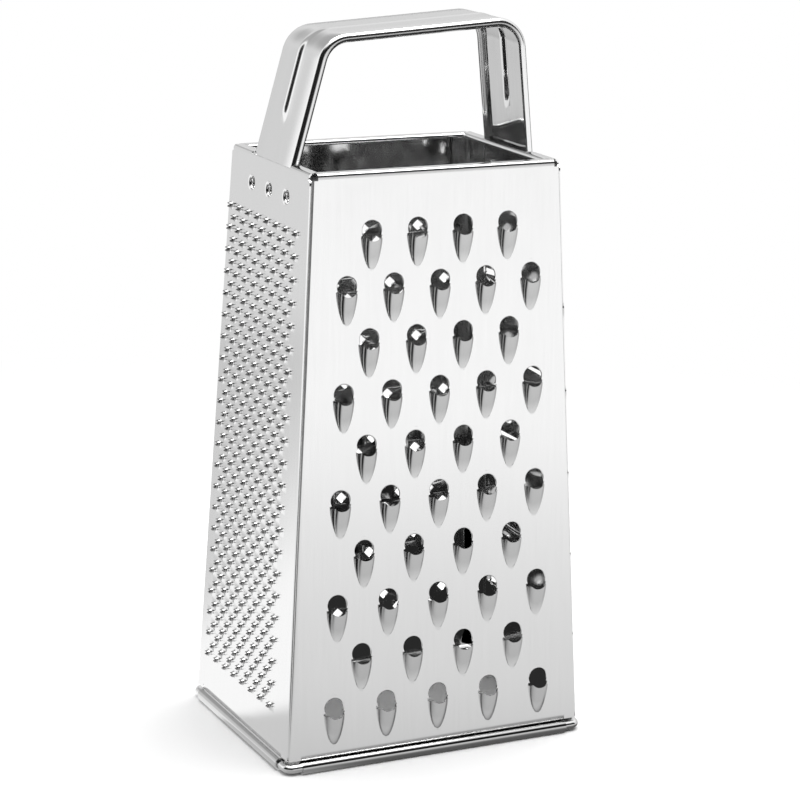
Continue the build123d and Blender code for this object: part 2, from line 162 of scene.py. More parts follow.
# Slope distance of a height.
def alongOf(wall, height):
    return (height - body["wallFoot"]) / math.cos(wall["lean"])


# A wall's frame: directions across and out, distance from the middle and half width at foot and rim, lean,
# whose tangent is run over rise, and the slope distances of its main heights.
def wallFrame(across, out, distance, half):
    lean = math.atan((distance[0] - distance[1]) / (body["rimHeight"] - body["wallFoot"]))
    wall = {
        "across": np.array(across, float), "out": np.array(out, float), "foot": distance[0], "rim": distance[1],
        "edgeFoot": half[0], "edgeRim": half[1], "lean": lean,
    }
    wall["slope"] = alongOf(wall, body["rimHeight"])
    wall["marks"] = [alongOf(wall, body[name]) for name in ("skirtTop", "rollStart", "shellTop")]
    return wall


walls = {
    "front": wallFrame((1, 0, 0), (0, -1, 0), body["halfDepth"], body["halfWidth"]),
    "back": wallFrame((-1, 0, 0), (0, 1, 0), body["halfDepth"], body["halfWidth"]),
    "left": wallFrame((0, -1, 0), (-1, 0, 0), body["halfWidth"], body["halfDepth"]),
    "right": wallFrame((0, 1, 0), (1, 0, 0), body["halfWidth"], body["halfDepth"]),
}


# Half the wall's width up its slope, on the straight line from foot to rim.
def reachAt(wall, along):
    return wall["edgeFoot"] + (wall["edgeRim"] - wall["edgeFoot"]) * np.asarray(along) / wall["slope"]


# Point from its place across a wall, its level distance out from the middle, and its height.
def fromLevel(wall, across, level, height):
    across, level, height = np.broadcast_arrays(across, level, height)
    return (across[..., None] * wall["across"] + level[..., None] * wall["out"]
            + height[..., None] * np.array((0.0, 0.0, 1.0)))


# Point from its place across a wall, up its slope, and out along its normal.
def fromWall(wall, across, along, out):
    cos, sin = math.cos(wall["lean"]), math.sin(wall["lean"])
    level = wall["foot"] - np.asarray(along) * sin + np.asarray(out) * cos
    height = body["wallFoot"] + np.asarray(along) * cos + np.asarray(out) * sin
    return fromLevel(wall, across, level, height)


# Faces of one or several grids of points, seen from outside. Each point carries the share of the sheet's
# thickness that is left there.
def gridPart(points, keep=None, share=1.0):
    share = np.broadcast_to(share, points.shape[:-1])[..., None]
    points = np.concatenate([points, share], -1)
    if points.ndim == 3:
        points = points[None]
    count, rows, columns = points.shape[:3]
    corner = np.arange(rows - 1)[:, None] * columns + np.arange(columns - 1)
    corner = corner.ravel() if keep is None else corner[keep]
    corner = (np.arange(count)[:, None] * rows * columns + corner).ravel()
    faces = np.stack([corner, corner + 1, corner + columns + 1, corner + columns], 1)
    return points.reshape(-1, 4), faces


# Row and column steps round a block of cells, anticlockwise and back to the first.
def blockBorder(rows, columns):
    ring = [(0, c) for c in range(columns)] + [(r, columns) for r in range(rows)]
    ring += [(rows, c) for c in range(columns, 0, -1)] + [(r, 0) for r in range(rows, 0, -1)]
    return np.array(ring + ring[:1]).T


# Replaces blocks of a wall's grid by rings round a centre: the outermost ring is the block's border,
# and rings() gives the angle, radius and height out of the wall of every ring, outermost first.
def patchPart(wall, across, along, blocks, size, centres, rings, sink=0.0):
    blocks, centres = np.array(blocks), np.array(centres, float)
    stepRow, stepColumn = blockBorder(*size)
    rows, columns = blocks[:, 0, None] + stepRow, blocks[:, 1, None] + stepColumn
    dx = across[rows, columns] - centres[:, 0, None]
    dy = along[rows, columns] - centres[:, 1, None]
    turn, radius, out = rings(np.arctan2(dy, dx), np.hypot(dx, dy))
    x = centres[None, :, 0, None] + radius * np.cos(turn)
    y = centres[None, :, 1, None] + radius * np.sin(turn)
    x[0], y[0] = across[rows, columns], along[rows, columns]
    share = np.moveaxis(1 - body["thinning"] * np.clip(out, 0, 1), 0, 1)
    return gridPart(np.moveaxis(fromWall(wall, x, y, out - sink), 0, 1), share=share)


# Cells of a grid that no block covers. A group holds its blocks and their size first.
def freeCells(shape, groups):
    keep = np.ones((shape[0] - 1, shape[1] - 1), bool)
    for blocks, size, *_ in groups:
        for row, column in blocks:
            keep[row:row + size[0], column:column + size[1]] = False
    return keep


# Points, faces and thickness shares of several parts, with points in the same 4 micron cell joined and the
# shares rounded to twentieths.
def welded(parts):
    counts = np.cumsum([0] + [len(points) for points, _ in parts])
    points = np.concatenate([points for points, _ in parts])
    faces = np.concatenate([cells + start for (_, cells), start in zip(parts, counts)])
    _, first, inverse = np.unique(
        np.round(points[:, :3] * 250).astype(np.int64), axis=0, return_index=True, return_inverse=True)
    return points[first, :3], inverse.reshape(-1)[faces], np.round(points[first, 3] * 20) / 20


# A smooth mesh of four-sided faces. Edges along a rim, which only one face uses, or at a sharp turn are
# drawn sharp. Also gives the number of rim edges.
def quadMesh(name, points, faces, sharp):
    mesh = bpy.data.meshes.new(name)
    mesh.vertices.add(len(points))
    mesh.vertices.foreach_set("co", (points * mm).ravel())
    mesh.loops.add(faces.size)
    mesh.loops.foreach_set("vertex_index", faces.ravel())
    mesh.polygons.add(len(faces))
    mesh.polygons.foreach_set("loop_start", np.arange(0, faces.size, 4))
    mesh.update(calc_edges=True)
    mesh.validate()
    mesh.shade_smooth()
    mesh.set_sharp_from_angle(angle=math.radians(sharp))
    edgeOf = np.zeros(len(mesh.loops), np.int32)
    mesh.loops.foreach_get("edge_index", edgeOf)
    used = np.bincount(edgeOf, minlength=len(mesh.edges))
    flags = np.zeros(len(mesh.edges), bool)
    mesh.edges.foreach_get("use_edge_sharp", flags)
    mesh.edges.foreach_set("use_edge_sharp", flags | (used == 1))
    return mesh, int((used == 1).sum())


# One piece of the grater in the frame. The attribute "pressed" is painted shade, growing with how far the sheet is
# pressed out and how steeply it stands off the wall.
def addPiece(name, parts, material, node, sheet=0.0, sharp=48, outward=(0, 0, 1)):
    points, faces, share = welded(parts)
    mesh, openEdges = quadMesh(name, points, faces, sharp)
    normals = np.zeros(points.size, np.float32)
    mesh.vertex_normals.foreach_get("vector", normals)
    # Painted shade: the steeper the face, the greyer.
    steep = 1 - normals.reshape(-1, 3) @ outward
    grey = np.clip(body["shadeFlat"] + body["shadeSteep"] * steep, 0, 1)
    pressed = mesh.attributes.new("pressed", "FLOAT", "POINT")
    pressed.data.foreach_set("value", np.clip((1 - share) / body["thinning"], 0, 1) * grey)
    piece = addObject(name, mesh)
    mesh.materials.append(material)
    if sheet:
        mesh.materials.append(insideSteel)
        group = piece.vertex_groups.new(name="thickness")
        for value in np.unique(share):
            group.add(np.flatnonzero(share == value).tolist(), float(value), "REPLACE")
        solid = piece.modifiers.new("sheet", "SOLIDIFY")
        solid.thickness = sheet * mm
        solid.offset = -1.0
        solid.use_even_offset = False
        solid.vertex_group = "thickness"
        solid.material_offset = 1
    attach(piece, "root")
    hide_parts(node)
    print(name, len(mesh.vertices), "points", len(mesh.polygons), "faces", openEdges, "open edges")


hem = {
    "width": 4.3, "lipFoot": 182.5, "mitre": 0.2,
    "steady": 15.0,  # columns nearer the middle than this are left where they are
    "slotNear": 0.06, "slotFar": 3.52, "slotHalf": 14.8,  # opening for the strap
}


# The hem's section as level distance in from the wall and height: up, over a quarter round, level to
# the lip's quarter round, and down.
def hemSection(wall):
    radius, top = body["foldRadius"], body["rimHeight"]
    first = np.radians([20, 40, 60, 75, 90])
    last = np.radians([12.7, 35, 60, 90])
    inward = np.concatenate([
        [-(top - body["shellTop"]) * math.tan(wall["lean"]), -radius * math.tan(wall["lean"])],
        radius - radius * np.cos(first), [hem["width"] / 2, hem["width"] - radius],
        hem["width"] - radius + radius * np.sin(last), [hem["width"]]])
    height = np.concatenate([
        [body["shellTop"], top - radius], top - radius + radius * np.sin(first), [top, top],
        top - radius + radius * np.cos(last), [hem["lipFoot"]]])
    return inward, height


# The folded rim above one row's columns. Beyond the steady middle they crowd in evenly, so that the last
# one keeps to the mitre.
def hemPart(wall, across, stop, slotted):
    inward, height = hemSection(wall)
    steady = hem["steady"]
    limit = np.minimum(stop, wall["edgeRim"] - hem["mitre"] - np.maximum(inward, 0))
    pinch = (limit - steady) / (stop - steady)
    size = np.abs(across)
    moved = np.where(size > steady, steady + (size - steady) * pinch[:, None], size) * np.sign(across)
    points = fromLevel(wall, moved, wall["rim"] - inward[:, None], height[:, None])
    keep = np.ones((len(inward) - 1, len(across) - 1), bool)
    if slotted:
        near, far = np.argmin(np.abs(inward - hem["slotNear"])), np.argmin(np.abs(inward - hem["slotFar"]))
        middle = (across[1:] + across[:-1]) / 2
        keep[near:far] &= (np.abs(middle) > hem["slotHalf"])[None]
    return gridPart(points, keep)


bead = {
    "radius": 2.0, "openWide": 55, "openNarrow": 112,  # angle of the curl's free end
    "start": -205, "steps": 24,  # angle where the curl begins
    "out": (-1.3, -1.14, -0.88, -0.6, -0.34, -0.14), "height": (2.95, 3.28, 3.62, 3.94, 4.26, 4.7),
}


# The rolled foot: an arc from the curl's free end under the wire and up its inner side, then a slow double
# bend out to the wall.
def beadPart(wall, across, freeEnd):
    inner = bead["radius"] - body["sheet"]
    turn = np.radians(np.linspace(freeEnd, bead["start"], bead["steps"]))
    wallOut = -(body["rollStart"] - body["wallFoot"]) * math.tan(wall["lean"])
    out = np.concatenate([inner * np.cos(turn), bead["out"], [wallOut]])
    height = np.concatenate([bead["radius"] + inner * np.sin(turn), bead["height"], [body["rollStart"]]])
    return gridPart(fromLevel(wall, across, wall["foot"] + out[:, None], height[:, None]))


# Places of grid lines: even steps between the marks, each gap with its number of them.
def linesAt(marks, steps):
    runs = [np.linspace(a, b, n, endpoint=False) for a, b, n in zip(marks, marks[1:], steps)]
    return np.concatenate(runs + [marks[-1:]])


# One wall from its grid: the cells that no tile covers, the tiles, the hem and the bead. The edge columns
# carry neither hem nor bead.
def wallPiece(name, node, wall, across, along, out, groups, edge, hemStop, slotted, freeEnd, whole=True):
    along = np.broadcast_to(along, across.shape)
    keep = freeCells(across.shape, groups) & whole
    keep[0, edge:-edge] = False
    share = 1 - body["gridThinning"] * np.clip(out, 0, 1)
    parts = [gridPart(fromWall(wall, across, along, out), keep, share)]
    parts += [patchPart(wall, across, along, *group) for group in groups]
    parts.append(hemPart(wall, across[-1, edge:-edge], hemStop, slotted))
    parts.append(beadPart(wall, across[1, edge:-edge], freeEnd))
    addPiece(name, parts, sheetSteel, node, body["sheet"], outward=wall["out"])


coarse = {
    "rows": 10, "top": 17.7, "foot": 15.6,  # outer rows' bores from the rim and from the wall's foot
    "column": 0.1785,  # column pitch as a share of the wall's width
    "shift": 0.7, "parts": 16, "lines": 40, "below": 12.1, "margin": 0.9,
    "bore": 3.05, "mouth": -1.9, "halfWidth": 3.35, "rise": 2.2, "length": 9.9, "bullet": 1.685,
    "rollDown": 0.2, "roll": 0.4, "early": 0.8, "skew": 0.9, "between": 0.35,
    "shares": (0, 0.06, 0.14, 0.26, 0.4, 0.55, 0.7, 0.84, 0.94, 0.985, 1.0),  # rings from the bore to the edge
}


# Rings of one coarse tooth. The hole is a circle with an ear at each side of the scoop's mouth. The scoop
# is a bullet-shaped dome: its half width falls as the root of one less the length's power, its rise
# falls nearly evenly to the tip, and a section is half an ellipse whose crown lies a little to the right.
# Two directions of each side snap to the ears and to the mouth's ends.
def coarseRings(turn, reach):
    bore, mouth, half = coarse["bore"], coarse["mouth"], coarse["halfWidth"]
    ear = math.atan2(mouth, half)
    cut = math.atan2(mouth, math.sqrt(bore ** 2 - mouth ** 2))
    onLeft = np.abs(turn) > math.pi / 2
    folded = np.where(onLeft, np.sign(turn) * math.pi - turn, turn)
    for special in (ear, cut):
        gap = np.abs(folded - special)
        for side in (onLeft, ~onLeft):
            near = np.argmin(np.where(side, gap, 9.0), axis=1)
            folded[np.arange(len(turn)), near] = special
    snapped = np.where(onLeft, np.sign(turn) * math.pi - folded, folded)
    # The closing column repeats the first one.
    snapped[:, -1], folded[:, -1] = snapped[:, 0], folded[:, 0]
    below = folded <= ear + 1e-9
    outline = np.where(below & (folded > cut + 1e-9), mouth / np.sin(np.minimum(folded, -0.1)), bore)
    steps = np.linspace(0, 1, 200)
    widths = half * np.sqrt(np.maximum(1 - steps ** coarse["bullet"], 0))
    drops = mouth - coarse["length"] * steps
    edge = np.interp(-folded, -np.arctan2(drops, widths), np.hypot(drops, widths))
    edge = np.where(below, edge, math.hypot(mouth, half))
    ring = outline + (edge - outline) * np.array(coarse["shares"])[:, None, None]
    x, y = ring * np.cos(folded), ring * np.sin(folded)
    step = np.clip((mouth - y) / coarse["length"], 0, 1)
    width = half * np.sqrt(np.maximum(1 - step ** coarse["bullet"], 0))
    rise = coarse["rise"] * (1 - step) * (1 + (1 - coarse["early"]) * step) + 1e-4
    side = x / np.maximum(width, 1e-3)
    side = side - coarse["skew"] / half * (1 - side ** 2)
    dome = rise * np.sqrt(np.maximum(1 - side ** 2, 0))
    rolled = -coarse["rollDown"] * np.maximum(1 - (ring - outline) / coarse["roll"], 0) ** 2
    out = np.where(below, np.maximum(dome, 0), rolled)
    foot = edge + coarse["roll"]
    border = np.stack([reach, foot + (reach - foot) * coarse["between"], foot])
    rings = np.concatenate([border, ring[::-1]])
    return snapped, rings, np.concatenate([0 * border, out[::-1]])


wide = {
    "notch": 2.4, "beadStop": 4.5, "lap": 0.5,  # hem, bead and fold stop this far from the corner
    "beadZone": 2.5,  # the bead's stop holds up to here along the wall
    "fold": [(0, 60, 120), (0.25, 0.35, 0.8)],  # the bend's radius at places up the wall
    "edgeColumns": 7, "slack": 0.1,  # a row this close under the field's foot belongs to the field
}


# How far a wide wall's plain columns reach: to the notch, and below the given place to the bead's stop.
def notchAt(reach, along, zone, margin=0.0):
    return reach - wide["notch"] - margin - (wide["beadStop"] - wide["notch"]) * (along[:, None] < zone)


# Columns of a wide wall from one flange's edge round the bend and across to the other.
def wideColumns(wall, along, inner):
    reach = reachAt(wall, along)[:, None]
    edge = reach - wide["lap"]
    radius = np.interp(along, *wide["fold"])[:, None]
    turn = np.radians([90, 67.5, 45, 22.5, 0])
    notch = notchAt(reach, along, wide["beadZone"])
    left = np.concatenate([-edge + np.zeros(2), -(edge - radius + radius * np.sin(turn)), -notch], 1)
    leftOut = np.concatenate([
        0 * reach - (body["flange"], body["flange"] / 2), -radius + radius * np.cos(turn), 0 * reach], 1)
    across = np.concatenate([left, inner, -left[:, ::-1]], 1)
    return across, np.concatenate([leftOut, np.zeros(inner.shape), leftOut[:, ::-1]], 1)


# Pulls a row's inner columns in where the limit is narrower than they are.
def pulledIn(inner, limit):
    most = np.max(np.abs(inner), axis=1, keepdims=True)
    return inner * np.minimum(1, limit / most)


# The first cell and the centre of every tile in staggered rows. Tiles are a place apart, up to endPlace on
# either side of the middle in the top row and every second one below it, and to otherEnd in the others.
def staggered(heights, endPlace, otherEnd, firstRow, rowParts, columnOf, placeAt):
    blocks, centres = [], []
    for row, height in enumerate(heights):
        end = otherEnd if (len(heights) - 1 - row) % 2 else endPlace
        for place in np.arange(-end, end + 0.5):
            blocks.append((firstRow + rowParts * row, columnOf(place)))
            centres.append((placeAt(place, height), height))
    return blocks, centres


# A wide wall: one field of tiles, counted from the field's first column, between two folded flanges.
def wideWall(name, node, wall, along, inner, blocks, size, centres, rings):
    across, out = wideColumns(wall, along, inner)
    edge = wide["edgeColumns"]
    group = ([(row, column + edge) for row, column in blocks], size, centres, rings)
    wallPiece(name, node, wall, across, along[:, None], out, [group], edge, wall["edgeRim"] - wide["notch"], False,
              bead["openWide"])


# The coarse side: rows of four and five teeth, whose column pitch is a share of the wall's width, so that
# the columns fan out with it.
def coarseWall():
    wall = walls["front"]
    parts, lines = coarse["parts"], coarse["lines"]
    pitchRow = (wall["slope"] - coarse["foot"] - coarse["top"]) / (coarse["rows"] - 1)
    low = coarse["foot"] - coarse["below"]
    skirt, roll, top = wall["marks"]
    along = linesAt([skirt, roll, low, low + pitchRow * coarse["rows"], top], [1, 1, parts * coarse["rows"], 3])
    unit = 2 * coarse["column"] / parts
    reach = reachAt(wall, along)[:, None]
    inner = np.arange(-lines, lines + 1) * unit * reach + coarse["shift"]
    inner = pulledIn(inner, notchAt(reach, along, low - wide["slack"], coarse["margin"]))
    blocks, centres = staggered(
        coarse["foot"] + pitchRow * np.arange(coarse["rows"]), 1.5, 2, 2, parts,
        lambda place: int(lines + round(place * parts)) - parts // 2,
        lambda place, height: place * (2 * float(reachAt(wall, height)) * coarse["column"]) + coarse["shift"])
    wideWall("coarse_side", "coarse_panel", wall, along, inner, blocks, (parts, parts), centres, coarseRings)


coarseWall()

diamond = {
    "half": 1.75, "pitch": 0.2255, "rows": 29, "shift": 0.5, "lines": 16, "margin": 0.6,
    "topReach": 43.055, "growth": 0.00511,  # the wall's half width at the top row, and its growth per row
    "flat": 0.15, "sink": 0.05,  # the hole's edge sinks a little over this width
}


# Rings of a hole whose outline is a square on its corner: radius = half over |cos| + |sin|.
def diamondRings(turn, reach):
    outline = diamond["half"] / (np.abs(np.cos(turn)) + np.abs(np.sin(turn)))
    rings = np.stack([reach, outline + diamond["flat"], outline])
    out = np.zeros_like(rings)
    out[-1] = -diamond["sink"]
    return turn, rings, out


# The medium side: a lattice of square holes on their corners, rows of eight and seven. The wall's half
# width grows by an even share from row to row, and the columns fan out with it.
def mediumWall():
    wall, lines, count = walls["back"], diamond["lines"], diamond["rows"]
    narrowing = (wall["edgeFoot"] - wall["edgeRim"]) / wall["slope"]
    rowSteps = np.arange(2 * count - 1, -2, -1) / 2
    rowLines = (wall["edgeFoot"] - diamond["topReach"] * np.exp(diamond["growth"] * rowSteps)) / narrowing
    low = rowLines[0]
    skirt, roll, top = wall["marks"]
    along = np.concatenate([
        linesAt([skirt, roll, low], [1, 2])[:-1], rowLines, linesAt([rowLines[-1], top], [6])[1:]])
    reach = reachAt(wall, along)[:, None]
    inner = np.arange(-lines, lines + 1) * diamond["pitch"] / 4 * reach + diamond["shift"]
    inner = pulledIn(inner, notchAt(reach, along, low - wide["slack"], diamond["margin"]))
    blocks, centres = staggered(
        along[4:4 + 2 * count:2], 3.5, 3, 3, 2, lambda place: int(round(4 * place)) + lines - 2,
        lambda place, height: place * diamond["pitch"] * float(reachAt(wall, height)) + diamond["shift"])
    wideWall("medium_side", "medium_panel", wall, along, inner, blocks, (2, 4), centres, diamondRings)


mediumWall()

eyelet = {
    "pitch": 13.35, "drop": 9.5, "tile": 4.0, "parts": 6,
    "radii": (2.85, 2.55, 2.32, 2.1, 1.93, 1.83, 1.8, 1.8, 1.95, 2.3, 2.8),
    "depths": (0.0, -0.03, -0.14, -0.36, -0.66, -1.0, -1.3, -1.75, -2.0, -2.1, -2.05),
}
narrow = {"notch": 1.6, "beadStop": 5.2, "columns": 36}


# Rings of one eyelet: the wall dips into a bore, and the bore's end is rolled back behind the strap.
def eyeletRings(turn, reach):
    level = 0 * reach
    rings = np.stack([reach] + [level + radius for radius in eyelet["radii"]])
    out = np.stack([level] + [level + depth for depth in eyelet["depths"]])
    return turn, rings, out


# Centres of a wall's three eyelets.
def eyeletCentres(wall):
    return [(place, wall["slope"] - eyelet["drop"]) for place in (-eyelet["pitch"], 0, eyelet["pitch"])]


# Places up a narrow wall of its eyelets' tiles and of its top.
def eyeletLines(wall):
    centre = wall["slope"] - eyelet["drop"]
    return [centre - eyelet["tile"], centre + eyelet["tile"], wall["marks"][2]]


# Marks across a row at both ends and at the sides of three tiles.
def eyeletMarks(end, tile):
    pitch = eyelet["pitch"]
    return [-end, -pitch - tile, -pitch + tile, -tile, tile, pitch - tile, pitch + tile, end]


# A narrow wall, which stops short of the corners. Its rows have the columns of the bead, of field(), of the
# eyelets and of the hem, and turn evenly from one set to the next. For a field that isn't flat, formed()
# gives the places up the slope and out, and the cells that stay.
def narrowWall(name, node, wall, along, field, fieldRows, groups, formed=None):
    beadStop = wall["edgeFoot"] - narrow["beadStop"]
    hemStop = wall["edgeRim"] - narrow["notch"]
    eyeletRow = int(np.argmin(np.abs(along - eyeletLines(wall)[0])))
    marks = [0, 1, *fieldRows, eyeletRow, eyeletRow + eyelet["parts"], len(along) - 1]
    across = np.zeros((len(along), narrow["columns"]))
    for row, end in enumerate(reachAt(wall, along) - body["reveal"]):
        beadRow = linesAt([-end, -beadStop, beadStop, end], [1, narrow["columns"] - 3, 1])
        hemRow = linesAt([-end, -hemStop, -hem["slotHalf"], hem["slotHalf"], hemStop, end], [1, 8, 17, 8, 1])
        tileRow = linesAt(eyeletMarks(end, eyelet["tile"]), [7, 6, 2, 6, 2, 6, 6])
        fieldRow = field(end, along[row])
        sets = [beadRow, beadRow, fieldRow, fieldRow, tileRow, tileRow, hemRow]
        span = max(int(np.searchsorted(marks, row)) - 1, 0)
        share = (row - marks[span]) / (marks[span + 1] - marks[span])
        across[row] = sets[span] * (1 - share) + sets[span + 1] * share
    groups = groups + [
        ([(eyeletRow, column) for column in (7, 15, 23)], (eyelet["parts"],) * 2, eyeletCentres(wall), eyeletRings)]
    flat = (along[:, None], np.zeros(across.shape), True)
    alongGrid, out, whole = flat if formed is None else formed(across)
    wallPiece(name, node, wall, across, alongGrid, out, groups, 1, hemStop, True, bead["openNarrow"], whole)


fine = {
    "rows": 43, "columns": 8, "top": 19.1, "foot": 13.5, "front": 9.4, "back": 2.4, "parts": 4, "lines": 16,
    "radii": (1.73, 1.44, 1.12, 0.9, 0.8), "heights": (0.0, 0.05, 0.145, 0.66, 0.95), "tornFrom": 0.5,
    "torn": 0.4, "raise": 0.1, "raiseFrom": 1.72, "raiseOver": 0.8,
    "knee": -27.5, "edge": 0.05,  # columns beyond the knee crowd in to keep off the wall's edge
}


# Rings of one fine tooth: a pierced low cone whose middle lies a little up the wall. Its torn rim is higher
# at four points, by a cosine of four times the direction.
def fineRings(turn, reach):
    radii = np.array(fine["radii"])[:, None, None]
    heights = np.array(fine["heights"])[:, None, None]
    torn = heights * (1 - fine["torn"] * np.cos(4 * turn) * (heights > fine["tornFrom"]))
    lifted = fine["raise"] * np.clip((fine["raiseFrom"] - radii) / fine["raiseOver"], 0, 1)
    x, y = radii * np.cos(turn), radii * np.sin(turn) + lifted
    rings = np.concatenate([reach[None], np.hypot(x, y)])
    turns = np.concatenate([turn[None], np.arctan2(y, x)])
    return turns, rings, np.concatenate([0 * reach[None], torn])


# The fine side: pierced points in staggered rows of eight and seven, set towards the back.
def fineWall():
    wall, parts, lines = walls["left"], fine["parts"], fine["lines"]
    pitchRow = (wall["slope"] - fine["foot"] - fine["top"]) / (fine["rows"] - 1)
    low, high = fine["foot"] - pitchRow / 2, wall["slope"] - fine["top"] + pitchRow / 2
    along = linesAt(
        wall["marks"][:2] + [low, high] + eyeletLines(wall), [1, 3, parts * fine["rows"], 2, eyelet["parts"], 2])
    half = float(reachAt(wall, wall["slope"] - fine["top"]))
    pitch = (2 * half - fine["front"] - fine["back"]) / (fine["columns"] - 1)
    shift = (fine["front"] - fine["back"]) / 2

    def squeezed(place, end):
        knee, far = fine["knee"], -lines * pitch / 4 - shift
        low = max(far, -end + fine["edge"])
        return np.where(place < knee, knee + (place - knee) * (low - knee) / (far - knee), place)

    def field(end, height):
        lattice = squeezed(np.arange(-lines, lines + 1) * pitch / 4 - shift, end)
        return np.concatenate([[-end], lattice, [(lattice[-1] + end) / 2, end]])

    def placeAt(place, height):
        return float(squeezed(np.array(place * pitch - shift), float(reachAt(wall, height)) - body["reveal"]))

    blocks, centres = staggered(
        fine["foot"] + pitchRow * np.arange(fine["rows"]), 3.5, 3, 4, parts,
        lambda place: int(round(place * 4)) + lines - 1, placeAt)
    narrowWall("fine_side", "fine_panel", wall, along, field, (4, 4 + parts * fine["rows"]),
               [(blocks, (parts, 4), centres, fineRings)])


fineWall()

slicer = {
    "count": 5, "top": 45.7, "foot": 28.5, "half": 21.0, "end": 0.8, "slot": 2.3, "rise": 1.8, "drop": 4.3,
    "shares": (1.0, 0.86, 0.7, 0.54, 0.38, 0.24, 0.12, 0.0),  # a crescent's rows, from its foot to the slot
    "curve": 1.3, "leastFall": 0.12, "apron": 3, "above": 6,
}


# The slicing side: level slots, each with a crescent pressed out below it. Across the crescent the depth
# of its rows and its rise fall with the square of the distance from the middle. From its foot to the slot
# it rises as a power of what is left of the depth.
def slicerWall():
    wall = walls["right"]
    pitch = (wall["slope"] - slicer["foot"] - slicer["top"]) / (slicer["count"] - 1)
    places = slicer["foot"] + pitch * np.arange(slicer["count"])
    rows = [(mark, -1, 0) for mark in wall["marks"][:2]]
    for blade, place in enumerate(places):
        rows.append((place - slicer["drop"] - slicer["apron"], -1, 0))
        rows += [(place - slicer["drop"] * share, blade, share) for share in slicer["shares"]]
        rows.append((place + slicer["slot"], -1, 0))
    last = len(rows) - 1
    above = linesAt([rows[-1][0] + slicer["above"]] + eyeletLines(wall), [3, eyelet["parts"], 2])
    along, bladeOf, shareOf = np.array(rows + [(mark, -1, 0) for mark in above]).T
    bladeOf, shareOf = bladeOf.astype(int)[:, None], shareOf[:, None]
    reach, short = slicer["half"], slicer["half"] - slicer["end"]

    def formed(across):
        fall = np.maximum(1 - (across / reach) ** 2, 0)
        curved = places[np.maximum(bladeOf, 0)] - slicer["drop"] * shareOf * np.maximum(fall, slicer["leastFall"])
        rise = slicer["rise"] * fall * (1 - shareOf) ** slicer["curve"]
        middle = (across[1:, 1:] + across[1:, :-1]) / 2
        slot = (bladeOf[:-1] >= 0) & (shareOf[:-1] == 0) & (np.abs(middle) < short)
        return np.where(bladeOf >= 0, curved, along[:, None]), np.where(bladeOf >= 0, rise, 0), ~slot

    def field(end, height):
        return linesAt([-end, -reach, -short, short, reach, end], [3, 1, 27, 1, 3])

    narrowWall("slicing_side", "slicer_panel", wall, along, field, (2, last), [], formed)


slicerWall()

ring = {"radius": 1.35, "corner": 2.2, "sides": 20, "turns": 10}


# The wire ring: a round section carried round a rectangle with rounded corners.
def wireRing():
    halfX, halfY = walls["front"]["edgeFoot"], walls["left"]["edgeFoot"]
    path, heading = [], []
    for corner, (signX, signY) in enumerate(((1, 1), (-1, 1), (-1, -1), (1, -1))):
        turn = math.pi / 2 * (corner + np.linspace(0, 1, ring["turns"]))
        centre = np.array((signX * (halfX - ring["corner"]), signY * (halfY - ring["corner"])))
        heading.append(np.stack([np.cos(turn), np.sin(turn)], 1))
        path.append(centre + ring["corner"] * heading[-1])
    path, heading = np.concatenate(path + [path[0][:1]]), np.concatenate(heading + [heading[0][:1]])
    section = np.linspace(0, 2 * math.pi, ring["sides"] + 1)
    section[-1] = 0
    flat = path[:, None] + heading[:, None] * (ring["radius"] * np.cos(section))[None, :, None]
    height = np.broadcast_to(bead["radius"] + ring["radius"] * np.sin(section), flat.shape[:2])
    points = np.concatenate([flat, height[..., None]], -1)
    addPiece("foot_wire", [gridPart(points[:, ::-1])], wireSteel, "base_wire", sharp=80)


wireRing()

strap = {
    "sheet": 0.8, "half": 14.5, "flange": 2.3, "lip": 0.18, "lipRise": 0.35, "fold": 1.5, "shoulder": 7.0,
    "bendHeight": 182.6, "bendRadius": 2.0, "formed": (0.3, 3.4),  # the section opens over this run from a foot
    "cornerRadius": 10.0, "leftCorner": (-30.2, 222.2), "rightCorner": (36.4, 226.2),
    "ribHalf": 2.4, "rib": 1.0, "ribTop": 0.2, "ribSteps": 8,
    "ribStart": (15.0, 19.5), "ribStop": (38.5, 44.0),  # runs over which the rib grows and fades
    "tabHalf": 17.5, "tabFoot": 161.6, "tabTop": 180.0, "hole": 2.42, "holeLip": 0.3, "tile": 3.6,
}


# A line through corners, its points no further apart than the step. Each corner is rounded by an arc that
# starts radius times the tangent of half the bend before it.
def roundedLine(corners, radii, step):
    corners = [np.array(corner, float) for corner in corners]
    points, start = [corners[:1]], corners[0]

    def straight(end):
        count = max(1, int(math.ceil(np.linalg.norm(end - start) / step)))
        points.append(start + (end - start) * np.linspace(0, 1, count + 1)[1:-1, None])

    for before, corner, after, radius in zip(corners, corners[1:], corners[2:], radii):
        way, out = corner - before, after - corner
        way, out = way / np.linalg.norm(way), out / np.linalg.norm(out)
        bend = math.acos(np.clip(way @ out, -1, 1))
        cut = radius * math.tan(bend / 2)
        enter = corner - way * cut
        side = np.sign(way[0] * out[1] - way[1] * out[0])
        normal = side * np.array((-way[1], way[0]))
        count = max(3, int(math.ceil(math.degrees(bend) / 6)))
        turn = np.linspace(0, bend, count + 1)[:, None]
        straight(enter)
        points.append(enter + radius * (np.sin(turn) * way + (1 - np.cos(turn)) * normal))
        start = points[-1][-1]
    straight(corners[-1])
    return np.concatenate(points + [corners[-1:]])


# Rings of a plain round hole in the strap's foot.
def footHoleRings(turn, reach):
    rings = np.stack([reach, 0 * reach + (strap["hole"] + strap["holeLip"]), 0 * reach + strap["hole"]])
    return turn, rings, np.zeros_like(rings)


